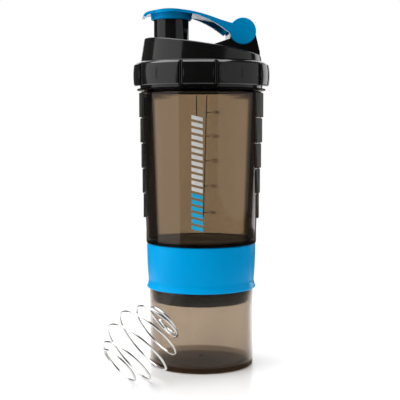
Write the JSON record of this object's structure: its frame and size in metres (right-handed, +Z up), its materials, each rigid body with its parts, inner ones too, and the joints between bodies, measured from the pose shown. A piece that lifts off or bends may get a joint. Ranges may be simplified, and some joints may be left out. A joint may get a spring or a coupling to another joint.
{
  "type": "protein shaker bottle",
  "caption": "Stacked shaker bottle with a tapered smoke-tinted cup, screw lid with hinged flip cap, two screw-on jars below and a wire whisk beside it.",
  "frame": {"origin": "centre of the bottle's flat base, on the surface it stands on", "axes": "+Z up along the bottle, +X towards the flip cap's hinge, -Y towards the printed scale"},
  "size_m": [0.1136, 0.1149, 0.2381],
  "materials": {
    "smoke_cup": "clear moulded copolyester, dark smoke tint",
    "smoke_jar": "clear moulded copolyester, smoke tint",
    "black_plastic": "glossy moulded polypropylene",
    "blue_plastic": "glossy moulded polypropylene",
    "grip_rubber": "satin soft-touch elastomer",
    "silicone": "translucent silicone",
    "pin_steel": "turned",
    "whisk_steel": "polished stainless wire"
  },
  "bodies": {
    "powder_jar": {"powder_jar": "smoke_jar"},
    "pill_jar": {"pill_jar_liner": "black_plastic", "pill_jar_band": "blue_plastic", "pill_tray": "black_plastic", "lower_seal_ring": "silicone"},
    "main_cup": {"main_cup": "smoke_cup", "left_grip_pads": "grip_rubber", "right_grip_pads": "grip_rubber", "upper_seal_ring": "silicone"},
    "lid": {"lid_body": "black_plastic", "lid_gasket": "silicone", "hinge_pin": "pin_steel"},
    "flip_cap": {"flip_cap": "blue_plastic", "spout_seal": "silicone"},
    "whisk": {"whisk": "whisk_steel"}
  },
  "joints": [
    {"name": "pill_jar_lift", "type": "slide", "parent": "powder_jar", "child": "pill_jar", "axis": [0, 0, 1], "range_m": [0, 0.02]},
    {"name": "cup_lift", "type": "slide", "parent": "pill_jar", "child": "main_cup", "axis": [0, 0, 1], "range_m": [0, 0.02]},
    {"name": "lid_lift", "type": "slide", "parent": "main_cup", "child": "lid", "axis": [0, 0, 1], "range_m": [0, 0.03]},
    {"name": "flip_hinge", "type": "hinge", "parent": "lid", "child": "flip_cap", "pos_m": [0.026, 0, 0.224], "axis": [0, 1, 0], "range_deg": [0, 135]},
    {"name": "whisk_lift", "type": "slide", "parent": "powder_jar", "child": "whisk", "axis": [0, 0, 1], "range_m": [0, 0.05]}
  ]
}
